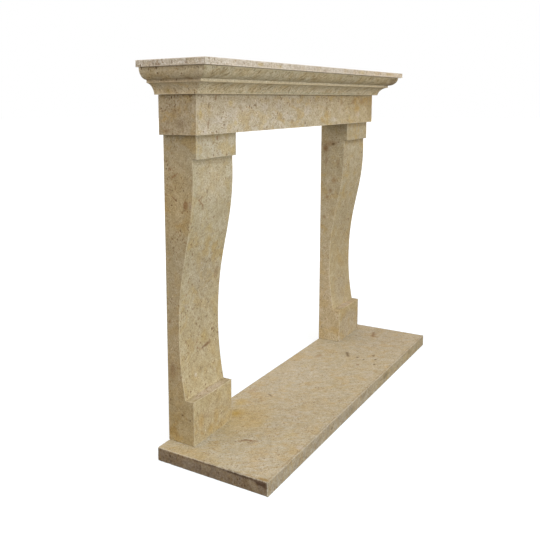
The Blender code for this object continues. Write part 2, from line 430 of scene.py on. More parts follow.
def makeBodyGroup():
    # clouded limestone: pale and ochre clouds, gritty grain, brown specks, white grains and small open pits
    group, given, result = newGroup(
        "limestoneBody", {"Vector": ["place"], "Color": bodyTones, "Float": bodyAmounts},
        {"Color": ["colour", "gain"], "Float": ["height"]})
    place = given["place"]

    def fog(word, where=place, unit=None):
        shift, scale, detail, roughness, *step = bodyNoises[word]
        if unit is not None:
            scale = times(group, unit, scale)
        shifted = vectorMaths(group, "ADD", where, shift)
        return between(group, noise(group, shifted, scale, detail, roughness), *step)

    def roundMarks(word, where, shift=(0, 0, 0), drawn=(1, 1, 1)):
        # round marks in some of the cells of a random honeycomb
        scale, kept, smallest, growth = bodyMarks[word]
        where = vectorMaths(group, "MULTIPLY", vectorMaths(group, "ADD", where, shift), drawn)
        cells = {"Vector": where, "Scale": scale, "Randomness": 1.0}
        cells = addNode(group, "TexVoronoi", cells, feature="F1")
        tone = addNode(group, "SeparateColor", {0: cells.outputs["Color"]}).outputs
        size = maths(group, "ADD", times(group, tone[1], growth), smallest)
        edge = maths(group, "SUBTRACT", cells.outputs["Distance"], size)
        chosen = between(group, tone[0], keptStep[0] - kept, keptStep[1] - kept)
        return times(group, between(group, edge, -markEdge, markEdge, 1.0, 0.0), chosen)

    cloudScale = maths(group, "DIVIDE", 1.0, given["cloudSize"])
    warpScale = times(group, cloudScale, cloudWarp[0])
    warped = pushed(group, place, warpScale, 2.0, 0.5, times(group, given["cloudSize"], cloudWarp[1]))
    cluster = fog("cluster")
    ochre = times(group, fog("ochre", warped, cloudScale), fog("broad"))
    pits = times(group, roundMarks("pits", place, (0.31, 0.77, 0.13), (1.0, 1.0, 0.5)), cluster)
    pits = times(group, pits, given["pitAmount"])
    # each layer over the ones before: mask, its amount and tone
    layers = [
        (fog("pale", warped, cloudScale), "paleAmount", given["pale"]),
        (ochre, "ochreAmount", given["ochre"]),
        (times(group, fog("specks"), cluster), "speckAmount", given["brown"]),
        (roundMarks("flecks", warped), "fleckAmount", given["brown"]),
        (roundMarks("grains", place, (1.2, 8.8, 3.9)), "speckAmount", whiteGrain),
    ]
    colour = given["base"]
    for mask, amount, tone in layers:
        colour = blend(group, times(group, mask, given[amount]), colour, tone)
    # painted shade inside the pits, together with their brown fill
    colour = blend(group, pits, colour, pitFloorAndShade)
    # three sizes of light and dark: sand grains, grit and hand-sized mottling
    fine = maths(group, "ADD", fog("sand"), fog("grit"))
    mottle = times(group, fog("mottle", warped), given["mottleAmount"])
    gain = maths(group, "ADD", mottle, times(group, fine, given["gritAmount"]))
    gain = vectorMaths(group, "ADD", vectorMaths(group, "MULTIPLY", gain, warmSwing), (1, 1, 1))
    group.links.new(colour, result["colour"])
    group.links.new(gain, result["gain"])
    group.links.new(maths(group, "SUBTRACT", times(group, fine, sandHeight), pits), result["height"])
    return group


beddingSway = (28.0, 0.03)  # scale, and reach at full waviness
veinScatter = ((2.2, 6.1, 9.4), 0.7, 0.08)  # shift, scale as a share of the veins' own, softness
wearNoise = (120.0, 0.25, 1.5)  # scale, least and greatest share of the width


def makeBeddingGroup():
    # fine wavy grain where the saw cut across the bedding: stretched noise read along one direction
    group, given, result = newGroup(
        "beddingGrain",
        {"Vector": ["place", "stretch", "turn"], "Float": ["lineSize", "waviness", "low", "high"]},
        {"Float": ["lines"]})
    swayScale, sway = beddingSway
    place = pushed(group, given["place"], swayScale, 2.0, 0.5, times(group, given["waviness"], sway))
    turned = addNode(group, "VectorRotate", {"Vector": place, "Rotation": given["turn"]},
                     rotation_type="EULER_XYZ").outputs[0]
    drawn = vectorMaths(group, "MULTIPLY", turned, given["stretch"])
    lines = noise(group, drawn, maths(group, "DIVIDE", 1.0, given["lineSize"]))
    group.links.new(between(group, lines, given["low"], given["high"]), result["lines"])
    return group


def makeVeinGroup():
    # thin brown veins: where a slow noise passes through its middle value, kept only in scattered places
    group, given, result = newGroup(
        "brownVeins", {"Vector": ["place"], "Float": ["size", "width", "share"]}, {"Float": ["veins"]})
    scale = maths(group, "DIVIDE", 1.0, given["size"])
    field = noise(group, given["place"], scale, 3.0, 0.55, 0.6)
    gap = maths(group, "ABSOLUTE", maths(group, "SUBTRACT", field, 0.5))
    line = between(group, gap, 0.0, given["width"], 1.0, 0.0)
    shift, scatterScale, softness = veinScatter
    elsewhere = vectorMaths(group, "ADD", given["place"], shift)
    scatter = noise(group, elsewhere, times(group, scale, scatterScale))
    edge = maths(group, "SUBTRACT", 1.0, given["share"])
    kept = between(group, scatter, edge, maths(group, "ADD", edge, softness))
    group.links.new(times(group, line, kept), result["veins"])
    return group


def makeSpotGroup():
    # one stain: an egg round a centre, with a soft edge
    group, given, result = newGroup(
        "stainSpot", {"Vector": ["place", "centre", "reach"], "Float": ["softness"]}, {"Float": ["stain"]})
    away = vectorMaths(group, "SUBTRACT", given["place"], given["centre"])
    length = vectorMaths(group, "LENGTH", vectorMaths(group, "DIVIDE", away, given["reach"]))
    inner = maths(group, "SUBTRACT", 1.0, given["softness"])
    group.links.new(between(group, length, inner, 1.0, 1.0, 0.0), result["stain"])
    return group


def makeStrokeGroup():
    # one short vein between two points: the distance from the straight line that joins them
    group, given, result = newGroup(
        "veinStroke", {"Vector": ["place", "start", "end"], "Float": ["width"]}, {"Float": ["stroke"]})
    span = vectorMaths(group, "SUBTRACT", given["end"], given["start"])
    away = vectorMaths(group, "SUBTRACT", given["place"], given["start"])
    along = vectorMaths(group, "DOT_PRODUCT", away, span)
    share = maths(group, "DIVIDE", along, vectorMaths(group, "DOT_PRODUCT", span, span))
    share = maths(group, "MINIMUM", maths(group, "MAXIMUM", share, 0.0), 1.0)
    foot = vectorMaths(group, "SCALE", span, share)
    gap = vectorMaths(group, "LENGTH", vectorMaths(group, "SUBTRACT", away, foot))
    group.links.new(between(group, gap, 0.0, given["width"], 1.0, 0.0), result["stroke"])
    return group


def makeWearGroup():
    # rubbed arrises: strongest at the edge itself, broken up by noise
    group, given, result = newGroup(
        "arrisWear", {"Vector": ["place"], "Float": ["gap", "width"]}, {"Float": ["wear"]})
    scale, least, most = wearNoise
    ragged = noise(group, given["place"], scale, 3.0, 0.6)
    width = times(group, given["width"], between(group, ragged, 0.35, 0.65, least, most))
    group.links.new(between(group, given["gap"], 0.0, width, 1.0, 0.0), result["wear"])
    return group


bodyGroup = makeBodyGroup()
beddingGroup = makeBeddingGroup()
veinGroup = makeVeinGroup()
spotGroup = makeSpotGroup()
strokeGroup = makeStrokeGroup()
wearGroup = makeWearGroup()
report("node groups")

# what most of the stones share; a stone's own dictionary changes what differs
stoneLook = {
    "base": (0.358, 0.312, 0.206),
    "pale": (1.12, 1.16, 1.28),  # this tone and the next three are shares of the base
    "ochre": (1.00, 0.88, 0.60),
    "brown": (0.57, 0.42, 0.26),
    "worn": (1.32, 1.34, 1.40),
    "cloudSize": 0.028,
    "paleAmount": 0.70,
    "ochreAmount": 0.70,
    "gritAmount": 0.19,
    "mottleAmount": 0.06,
    "speckAmount": 0.80,
    "fleckAmount": 0.60,
    "pitAmount": 0.90,
    "offset": (0, 0, 0),
    "drawn": (1, 1, 1),  # below 1 the clouds are drawn out along that axis
    "grains": [],  # turn in degrees, stretch, line size, waviness, from and to, amount, tone
    "veins": (0.06, 0.010, 0.38, 0.45),  # size, width, share and strength
    "wear": (0.004, 0.5),  # width and strength
    "sawnAndShadeTone": None,  # tone of the sawn edges, partly their real finish and partly painted shade on the upright faces
    "sawnAndShadePatches": (26.0, 0.7, 1.2),  # scale, least and greatest share
    "tints": [],  # axis, first and last place on it, amount at each of them, tone
    "roughness": 0.62,
    "roughSwing": 0.15,
    "bump": 0.0007,
    "ragged": (190.0, 0.006),  # scale and reach of the push that frays spots and strokes
    # marks, in millimetres
    "spots": [],  # centre, reach, softness, strength, tone
    "strokes": [],  # start, end, width, strength, tone
    "washes": [],  # like spots, but these multiply what lies under them
}


def makeLimestone(name, changes):
    look = {**stoneLook, **changes}
    material, tree, shader = newMaterial(name)

    def shade(word):
        # a tone given as a share of the base
        return [share * part for share, part in zip(look[word], look["base"])]

    def metres(values):
        return [value / 1000 for value in values]

    def over(colour, mask, strength, tone, way="MIX"):
        # the tone over the colour, as strong as the mask times the strength
        return blend(tree, times(tree, mask, strength), colour, (*tone, 1), way)

    def spot(row, where):
        *numbers, softness, strength, tone = row
        inputs = {"place": where, "centre": metres(numbers[:3]), "reach": metres(numbers[3:]),
                  "softness": softness}
        return useGroup(tree, spotGroup, inputs)["stain"], strength, tone

    place = addNode(tree, "TexCoord").outputs["Object"]
    moved = {"Vector": place, "Location": look["offset"], "Scale": look["drawn"]}
    moved = addNode(tree, "Mapping", moved).outputs[0]
    inputs = {"place": moved, "base": (*look["base"], 1)}
    inputs.update({word: (*shade(word), 1) for word in bodyTones[1:]})
    inputs.update({word: look[word] for word in bodyAmounts})
    body = useGroup(tree, bodyGroup, inputs)
    colour = body["colour"]
    for axis, first, last, amountFirst, amountLast, tone in look["tints"]:
        along = addNode(tree, "SeparateXYZ", {0: place}).outputs["XYZ".index(axis)]
        share = between(tree, along, first, last, amountFirst, amountLast)
        colour = blend(tree, share, colour, (*tone, 1), "MULTIPLY")
    for turn, stretch, lineSize, waviness, (low, high), amount, tone in look["grains"]:
        inputs = {"place": moved, "turn": [math.radians(angle) for angle in turn], "stretch": stretch,
                  "lineSize": lineSize, "waviness": waviness, "low": low, "high": high}
        colour = over(colour, useGroup(tree, beddingGroup, inputs)["lines"], amount, tone, "MULTIPLY")
    size, width, share, strength = look["veins"]
    inputs = {"place": moved, "size": size, "width": width, "share": share}
    colour = over(colour, useGroup(tree, veinGroup, inputs)["veins"], strength, shade("brown"))
    scale, reach = look["ragged"]
    ragged = pushed(tree, place, scale, 3.0, 0.6, reach)
    for row in look["spots"]:
        colour = over(colour, *spot(row, ragged))
    for *numbers, strength, tone in look["strokes"]:
        numbers = metres(numbers)
        inputs = {"place": ragged, "start": numbers[:3], "end": numbers[3:6], "width": numbers[6]}
        colour = over(colour, useGroup(tree, strokeGroup, inputs)["stroke"], strength, tone)
    for row in look["washes"]:
        colour = over(colour, *spot(row, place), "MULTIPLY")
    # the grit lies over clouds and marks alike
    colour = vectorMaths(tree, "MULTIPLY", colour, body["gain"])
    # upright faces darker: partly the real sawn finish, partly painted shade
    if look["sawnAndShadeTone"]:
        side = addNode(tree, "Attribute", attribute_name="sawnAndShadedSide").outputs["Fac"]
        scale, least, most = look["sawnAndShadePatches"]
        patchy = between(tree, noise(tree, place, scale, 3.0, 0.6), 0.35, 0.65, least, most)
        colour = over(colour, side, patchy, look["sawnAndShadeTone"], "MULTIPLY")
    width, strength = look["wear"]
    gap = addNode(tree, "Attribute", attribute_name="arrisGap").outputs["Fac"]
    wear = useGroup(tree, wearGroup, {"place": place, "gap": gap, "width": width})["wear"]
    colour = over(colour, wear, strength, shade("worn"))
    rough = maths(tree, "ADD", times(tree, body["height"], look["roughSwing"]), look["roughness"])
    bump = addNode(tree, "Bump", {"Height": body["height"], "Distance": look["bump"], "Strength": 1.0})
    setInputs(tree, shader, {"Base Color": colour, "Roughness": rough, "Normal": bump.outputs[0]})
    return material


# Names for the tones of the marks
rust = (0.210, 0.118, 0.047)
umber = (0.125, 0.080, 0.032)
honey = (0.420, 0.325, 0.125)
chalk = (0.490, 0.445, 0.385)

frontward = (1, -1, 1)  # turns (along, out of the wall, up) into world axes

# Squared stones: hearth, frieze and shelf

hearthStone = {
    "node": "hearth_slab",
    "slot": "hearth_limestone",
    "arris": 0.0030,
    "pitch": 0.0034,  # along the run
    "crossPitch": 0.009,
    "risePitch": 0.004,
    "sawnAndShadeEdge": (1.3, 1.6, 0.54),  # full, slope, share of the front and back
    "chips": {"seed": 3, "count": 190, "onArris": 0.002, "radius": (0.002, 0.006), "bite": (0.14, 0.34)},
    # along the left end's top arris: place, how far outside the end and above the top, and radius
    "placedChips": [
        (-0.160, 0.018, 0.008, 0.0245), (-0.172, 0.016, 0.007, 0.0210), (-0.150, 0.013, 0.006, 0.0165),
        (-0.182, 0.010, 0.005, 0.0130), (-0.047, 0.008, 0.005, 0.0115), (-0.063, 0.008, 0.005, 0.0118),
        (-0.086, 0.008, 0.005, 0.0120), (-0.100, 0.007, 0.004, 0.0098), (-0.197, 0.006, -0.006, 0.0118),
        (-0.197, 0.006, -0.016, 0.0114), (-0.197, 0.006, -0.025, 0.0116), (-0.197, 0.006, -0.036, 0.0113),
    ],
}
friezeStone = {
    "node": "frieze",
    "slot": "frieze_limestone",
    "arris": 0.0012,
    "pitch": 0.0036,
    "crossPitch": 0.009,
    "risePitch": 0.005,
    "chips": {"seed": 4, "count": 60, "onArris": 0.0015, "radius": (0.0015, 0.0035), "bite": (0.12, 0.30)},
}
shelfStone = {
    "node": "mantel_shelf",
    "slot": "shelf_limestone",
    "arris": 0.0012,
    "pitch": 0.0038,
    "crossPitch": 0.010,
    "risePitch": 0.004,
    "chips": {"seed": 5, "count": 60, "onArris": 0.0015, "radius": (0.0015, 0.0035), "bite": (0.12, 0.30)},
}


def makeSquaredStone(name, settings, look):
    node, slot = settings["node"], settings["slot"]
    low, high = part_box(node)
    depth, height = high[1] - low[1], high[2] - low[2]
    run = spread(low[0], high[0], settings["pitch"])
    path = alongPath([(depth, 0), (depth, height)], settings["risePitch"])
    shares = spread(0, depth, settings["crossPitch"]) / depth
    points, faces, outward, arrisGap = carriedStone(
        run, path, path * (0, 1), shares, settings["arris"], [0, len(path) - 1])
    points = points * frontward + (0, high[1], low[2])
    attributes = {"arrisGap": arrisGap}
    # painted shade together with the sawn finish: the upright faces darker, most on the ends
    if "sawnAndShadeTone" in look:
        # full less the slope times the upright part of the outward direction, kept between 0 and 1; of that,
        # the front and back get their share and the ends all
        full, slope, frontShare = settings["sawnAndShadeEdge"]
        side = np.clip(full - slope * np.abs(outward[:, 2]), 0, 1)
        attributes["sawnAndShadedSide"] = side * (frontShare + (1 - frontShare) * np.abs(outward[:, 0]))
    chipArrises(points, outward * frontward, arrisGap, settings["chips"])
    for along, outside, above, radius in settings.get("placedChips", []):
        scoop(points, (low[0] - outside, along, high[2] + above), radius)
    addPiece(name, points, faces, attributes, makeLimestone(slot, look), node)


hearthLook = {
    "base": (0.442, 0.412, 0.322), "cloudSize": 0.034, "offset": (1.3, 0.4, 0.2), "wear": (0.004, 0.5),
    "ochre": (1.02, 0.90, 0.68), "ochreAmount": 0.60, "paleAmount": 0.45, "mottleAmount": 0.05,
    "pale": (1.10, 1.10, 1.13), "speckAmount": 0.50, "gritAmount": 0.20, "pitAmount": 0.70,
    "grains": [((0, 0, 45), (1, 5, 1), 0.010, 0.9, (0.40, 0.66), 0.65, (0.90, 0.84, 0.73)),
               ((0, 0, 50), (1, 5, 1), 0.022, 0.9, (0.50, 0.64), 0.75, (0.93, 0.85, 0.68)),
               ((0, 0, 45), (1, 4, 1), 0.045, 0.9, (0.44, 0.58), 0.75, (0.95, 0.90, 0.79))],
    # the sawn tone below is partly painted shade on the upright faces
    "veins": (0.07, 0.008, 0.30, 0.3), "sawnAndShadeTone": (0.49, 0.44, 0.44),
    "spots": [
        (-395, 112, 44, 62, 45, 10, 0.9, 0.8, honey), (-320, 140, 44, 60, 30, 10, 0.95, 0.6, honey),
        (-401, 108, 44, 24, 18, 10, 0.8, 0.8, (0.38, 0.28, 0.08)),
        (-198, 156, 44, 40, 16, 10, 0.9, 0.5, (0.3, 0.19, 0.08)), (-425, 6, 44, 45, 22, 10, 0.9, 0.35, honey),
        (-440, -115, 44, 45, 25, 10, 0.9, 0.3, honey), (-91, 67, 44, 40, 14, 10, 0.9, 0.35, honey),
        (246, 100, 44, 40, 16, 10, 0.9, 0.5, (0.3, 0.19, 0.08)), (118, 100, 44, 40, 20, 10, 0.9, 0.3, honey),
        (-1, -79, 44, 50, 18, 10, 0.9, 0.25, honey), (617, -1, 44, 30, 18, 10, 0.9, 0.35, rust),
        (364, -92, 44, 10, 8, 10, 0.6, 0.95, umber), (328, -114, 44, 9, 7, 10, 0.6, 0.9, umber),
        (274, -128, 44, 9, 7, 10, 0.6, 0.8, umber), (314, -43, 44, 10, 7, 10, 0.6, 0.85, umber),
        (302, -73, 44, 8, 6, 10, 0.6, 0.85, umber), (235, -74, 44, 10, 8, 10, 0.6, 0.75, rust),
        (119, 50, 44, 6, 5, 10, 0.6, 0.55, rust), (-180, -77, 44, 6, 5, 10, 0.6, 0.55, umber),
        (567, 63, 44, 7, 6, 10, 0.6, 0.6, rust), (-717.5, 153, 44, 4, 4, 10, 0.6, 0.8, rust),
        (-420, 80, 44, 12, 6, 10, 0.8, 0.6, (0.24, 0.16, 0.05)),
        (-380, 125, 44, 14, 6, 10, 0.8, 0.5, (0.26, 0.18, 0.06)),
        (-470, 40, 44, 14, 6, 10, 0.8, 0.4, (0.28, 0.19, 0.08)), (-300, -60, 44, 50, 25, 10, 0.9, 0.3, chalk),
        (-500, -178, 44, 18, 20, 20, 0.8, 0.6, chalk), (163, -150, 44, 40, 18, 10, 0.9, 0.35, chalk),
        (-287, -191, 22, 10, 10, 8, 0.6, 0.75, umber),
        (230, -191, 26, 55, 10, 16, 0.9, 0.55, (0.14, 0.12, 0.07)),
        (-120, -191, 16, 60, 10, 14, 0.9, 0.35, (0.22, 0.19, 0.1)),
        (535, -191, 25, 40, 10, 12, 0.9, 0.4, (0.17, 0.14, 0.08)),
        (-380, -191, 24, 40, 10, 12, 0.9, 0.35, (0.17, 0.14, 0.09)),
        (0, -191, 28, 30, 10, 12, 0.9, 0.35, (0.17, 0.14, 0.09)),
        (-727.5, -167, 36, 12, 22, 12, 0.5, 0.9, (0.13, 0.08, 0.042)),
        (-727.5, -181, 30, 12, 12, 13, 0.7, 0.75, (0.16, 0.1, 0.055)),
        (-719, -174, 44.8, 10, 28, 10, 0.7, 0.9, (0.28, 0.19, 0.07)),
        (-723, -130, 44.8, 6, 34, 10, 0.9, 0.7, (0.3, 0.21, 0.1)),
        (-727.5, -47, 43, 5, 12, 5, 0.6, 0.85, umber), (-727.5, -66, 43, 5, 14, 5, 0.6, 0.85, umber),
        (-727.5, -90, 43, 5, 14, 4, 0.6, 0.8, umber), (-727.5, -10, 43, 4, 16, 3, 0.6, 0.65, umber),
        (-727.5, 144, 28, 5, 5, 6, 0.6, 0.8, umber),
        (-727.5, 20, 15, 5, 40, 14, 0.9, 0.4, (0.23, 0.18, 0.12)),
    ],
    "washes": [
        (-420, 60, 44, 200, 110, 20, 0.9, 0.8, (1.04, 0.92, 0.62)),
        (-640, -120, 44, 130, 90, 20, 0.9, 0.7, (1.03, 1.02, 1.05)),
        (-705, 90, 44, 60, 160, 20, 0.9, 0.9, (1.02, 0.93, 0.74)),
        # painted light: the hearth top between the legs, shaded by the shelf and legs, is lightened
        (0, 80, 44, 300, 110, 20, 0.9, 0.8, (1.03, 1.06, 1.14)),
        # painted shade: the hearth top is darker towards its far right end, where the light falls off
        (600, -50, 44, 350, 250, 20, 0.9, 0.8, (0.93, 0.93, 0.97)),
        (450, -193, 20, 600, 10, 40, 0.6, 1, (1.08, 1.07, 0.98)),
    ],
    "strokes": [
        (-727.5, 60, 41.5, -727.5, -60, 41, 6, 0.6, (0.15, 0.1, 0.055)),
        (-727.5, -60, 41, -727.5, -150, 39.5, 8.5, 0.9, (0.12, 0.075, 0.038)),
        (-562, -2, 44, -545, -14, 44, 8, 0.75, rust), (-545, -14, 44, -541, -30, 44, 8, 0.75, rust),
        (-541, -30, 44, -533, -47, 44, 8, 0.7, rust), (-556, -28, 44, -551, -43, 44, 5, 0.6, rust),
        (344, 15, 44, 306, -5, 44, 11, 0.85, umber), (650, 12, 44, 598, -3, 44, 10, 0.75, rust),
        (598, -3, 44, 598, -24, 44, 9, 0.65, rust), (-200, 90, 44, -212, 74, 44, 7, 0.65, umber),
        (-227, 90, 44, -224, 82, 44, 5, 0.6, umber),
    ],
}
friezeLook = {
    "base": (0.408, 0.355, 0.254), "pale": (1.14, 1.17, 1.28), "ochre": (1.00, 0.86, 0.56),
    "offset": (0.2, 0.9, 0.5), "fleckAmount": 0.75, "speckAmount": 1.0, "ochreAmount": 0.8,
    "mottleAmount": 0.07, "gritAmount": 0.24, "cloudSize": 0.022,
    "tints": [("X", -0.30, 0.70, 0.0, 0.52, (0.99, 0.87, 0.54))], "drawn": (0.6, 1, 1),
    "washes": [
        # painted shade: the frieze's left end is darkened and warmed
        (-690, 125, 1050, 15, 120, 120, 0.5, 1, (0.95, 0.94, 0.89)),
    ],
    "spots": [
        (-579, 59, 1032, 55, 10, 20, 0.9, 0.6, chalk), (-494, 59, 1049, 50, 10, 24, 0.9, 0.45, chalk),
        (-291, 59, 1069, 40, 10, 18, 0.9, 0.5, chalk), (-193, 59, 1068, 35, 10, 16, 0.9, 0.5, chalk),
        (-121, 59, 1030, 35, 10, 16, 0.9, 0.4, chalk), (34, 59, 1054, 45, 10, 26, 0.9, 0.5, chalk),
        (271, 59, 1013, 45, 10, 14, 0.9, 0.6, chalk), (323, 59, 1050, 30, 10, 20, 0.9, 0.4, chalk),
        (520, 59, 1029, 40, 10, 22, 0.9, 0.5, chalk), (-643, 59, 1003, 12, 10, 10, 0.7, 0.6, chalk),
        (-666, 59, 1053, 10, 10, 22, 0.8, 0.6, honey), (-503, 59, 1082, 22, 10, 14, 0.9, 0.6, honey),
        (-446, 59, 1067, 14, 10, 12, 0.8, 0.6, (0.24, 0.16, 0.07)),
        (-475, 59, 1022, 16, 10, 14, 0.9, 0.55, honey),
        (-348, 59, 1075, 8, 10, 16, 0.8, 0.6, (0.2, 0.15, 0.07)),
        (-91, 59, 1087, 16, 10, 14, 0.8, 0.6, (0.25, 0.18, 0.07)),
        (-91, 59, 1016, 16, 10, 12, 0.8, 0.65, (0.25, 0.17, 0.07)),
        (13, 59, 1007, 10, 10, 4, 0.7, 0.8, umber), (20, 59, 1074, 12, 10, 8, 0.8, 0.5, honey),
        (202, 59, 1057, 16, 10, 14, 0.8, 0.65, (0.25, 0.17, 0.07)),
        (242, 59, 1091, 18, 10, 14, 0.9, 0.55, honey),
        (344, 59, 1078, 22, 10, 16, 0.9, 0.6, (0.27, 0.17, 0.07)),
        (469, 59, 1079, 35, 10, 14, 0.9, 0.55, (0.27, 0.17, 0.08)),
        (431, 59, 1020, 16, 10, 16, 0.9, 0.5, honey),
        (566, 59, 1083, 30, 10, 18, 0.9, 0.5, (0.27, 0.17, 0.08)),
        (655, 59, 1050, 35, 10, 70, 0.5, 0.35, (0.26, 0.19, 0.09)),
        (-291, 59, 1020, 20, 10, 10, 0.9, 0.45, honey), (-351, 59, 1074, 4, 10, 5, 0.6, 0.8, umber),
        (-538, 59, 1018, 4, 10, 4, 0.6, 0.8, umber),
        (-688, 113, 1023, 10, 30, 24, 0.9, 0.4, (0.2, 0.14, 0.08)),
        (-688, 134, 1062, 10, 22, 16, 0.9, 0.35, (0.2, 0.14, 0.08)),
        (-688, 163, 1005, 10, 20, 12, 0.9, 0.45, rust),
    ],
    "strokes": [
        # painted shadow: these three dark lines along the frieze's top, under the cornice's front and its
        # left return, stand for the shade that the cornice's foot casts at the joint
        (-700, 59, 1107.8, 560, 59, 1107.8, 5.5, 0.9, umber),
        (560, 59, 1107.8, 700, 59, 1107.8, 4.5, 0.45, rust),
        (-688, 70, 1107.8, -688, 191, 1107.8, 4.5, 0.4, umber),
        (-582, 59, 1107, -587, 59, 1094, 8, 0.8, rust), (-622, 59, 1083, -624, 59, 1071, 5, 0.75, umber),
        (-626, 59, 1030, -628, 59, 1012, 6, 0.75, rust),
    ],
}
shelfLook = {
    "base": (0.485, 0.438, 0.366), "pale": (1.10, 1.12, 1.18), "ochre": (0.96, 0.86, 0.68),
    "offset": (2.2, 0.1, 0.9), "roughness": 0.55, "wear": (0.004, 0.6), "ochreAmount": 0.55,
    "gritAmount": 0.30,
    "grains": [((0, 0, 0), (1, 3, 9), 0.040, 0.3, (0.40, 0.64), 0.8, (0.82, 0.78, 0.72))],
    "tints": [("X", 0.10, 0.78, 0.0, 1.0, (1.13, 1.09, 1.01))],
    "spots": [
        (-500, -41, 1192, 30, 10, 8, 0.9, 0.5, honey), (-380, -41, 1190, 25, 10, 8, 0.9, 0.4, honey),
        (300, -41, 1192, 50, 10, 8, 0.9, 0.45, honey), (600, -41, 1192, 50, 10, 8, 0.9, 0.45, honey),
        (-787.7, 139, 1192, 10, 14, 8, 0.9, 0.4, rust), (-772, -41, 1198, 4, 10, 4, 0.6, 0.85, umber),
    ],
    "washes": [
        # painted light: the shelf's left end is lightened and cooled
        (-790, 75, 1190, 20, 200, 40, 0.5, 1, (1.1, 1.17, 1.25)),
    ],
    "strokes": [
        (-787.7, 131, 1196, -787.7, 129, 1185, 4, 0.75, umber),
        (-787.7, 116, 1196, -787.7, 114, 1185, 4, 0.7, rust),
    ],
}
makeSquaredStone("hearthStone", hearthStone, hearthLook)
makeSquaredStone("friezeStone", friezeStone, friezeLook)
makeSquaredStone("shelfStone", shelfStone, shelfLook)

# Legs: plinth block, scroll and capital block in one stone

legStone = {
    "plinthHeight": 0.141,
    "plinthDepth": 0.095,
    "footDepth": 0.065,  # where the scroll lands on the plinth
    "waistDepth": 0.0455,
    "waistRise": 0.200,  # above the plinth
    "bellyDepth": 0.1045,
    "bellyDrop": 0.045,  # below the capital
    "neckDepth": 0.1035,
    "capitalDepth": 0.117,
    "capitalHeight": 0.070,
    "bellyHandle": 0.39,  # pull of the curve at the belly, as a share of the belly-to-waist drop
    "waistHandle": 0.48,
    "cove": 0.0022,  # hollow where the scroll meets the ledge and the capital
    "arris": 0.0013,
    "pitch": 0.0035,  # along the front path
    "crossPitch": 0.008,
    "runPitch": 0.006,
    "fanSlope": 0.12,  # how far the wall line's rows fan out behind a level ledge, per metre of ledge
    "chips": {"count": 70, "onArris": 0.0015, "radius": (0.0015, 0.0040), "bite": (0.12, 0.30)},
}


def coveAt(corner, before, after, pull=0.6, steps=9):
    # a small hollow: a curve that leaves one side of an inner corner and lands on the other
    return bezier(before, before + (corner - before) * pull, after + (corner - after) * pull, after, steps)


def legPath(settings, legHeight):
    # the front outline from the base up: plinth, ledge, scroll (three curves), underside and face of capital
    plinthTop = settings["plinthHeight"]
    capitalLow = legHeight - settings["capitalHeight"]
    foot = np.array([settings["footDepth"], plinthTop])
    waist = np.array([settings["waistDepth"], plinthTop + settings["waistRise"]])
    belly = np.array([settings["bellyDepth"], capitalLow - settings["bellyDrop"]])
    neck = np.array([settings["neckDepth"], capitalLow])
    elbow = np.array([settings["waistDepth"], plinthTop + settings["waistRise"] / 2])
    up = np.array([0, 1])
    out = np.array([1, 0])
    drop = up * (belly[1] - waist[1])
    rise = up * settings["bellyDrop"] / 3
    waistPull, bellyPull = settings["waistHandle"], settings["bellyHandle"]
    scroll = np.concatenate([
        bezier(foot, foot + (elbow - foot) * 2 / 3, waist + (elbow - waist) * 2 / 3, waist),
        bezier(waist, waist + drop * waistPull, belly - drop * bellyPull, belly)[1:],
        bezier(belly, belly + rise, neck - rise, neck)[1:],
    ])
    cove = settings["cove"]
    ledge, underside = foot + out * cove, neck + out * cove
    inner = scroll[(scroll[:, 1] > plinthTop + cove) & (scroll[:, 1] < capitalLow - cove)]
    return [
        [(settings["plinthDepth"], 0), (settings["plinthDepth"], plinthTop)],
        [(settings["plinthDepth"], plinthTop), ledge],
        coveAt(foot, ledge, inner[0]),
        inner,
        coveAt(neck, inner[-1], underside),
        [underside, (settings["capitalDepth"], capitalLow)],
        [(settings["capitalDepth"], capitalLow), (settings["capitalDepth"], legHeight)],
    ]


def makeLeg(name, node, slot, look, seed, settings):
    low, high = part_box(node)
    legHeight = high[2] - low[2]
    path, ends = joinPieces(legPath(settings, legHeight), settings["pitch"])
    ledgeFan = settings["fanSlope"] * (settings["plinthDepth"] - settings["footDepth"])
    capitalFan = settings["fanSlope"] * (settings["capitalDepth"] - settings["neckDepth"])
    rows = np.arange(len(path))
    knots = [0, ends[0], ends[2], ends[3], ends[5], ends[6]]
    fan = np.interp(rows, knots, [0, -ledgeFan, 0, 0, capitalFan, 0])
    back = np.column_stack([np.zeros(len(path)), path[:, 1] + fan])
    shares = spread(0, settings["capitalDepth"], settings["crossPitch"]) / settings["capitalDepth"]
    run = spread(low[0], high[0], settings["runPitch"])
    cornerRows = [0, ends[0], ends[5], ends[6]]
    points, faces, outward, arrisGap = carriedStone(run, path, back, shares, settings["arris"], cornerRows)
    points = points * frontward + (0, high[1], low[2])
    chipArrises(points, outward * frontward, arrisGap, {**settings["chips"], "seed": seed})
    addPiece(name, points, faces, {"arrisGap": arrisGap}, makeLimestone(slot, look), node)


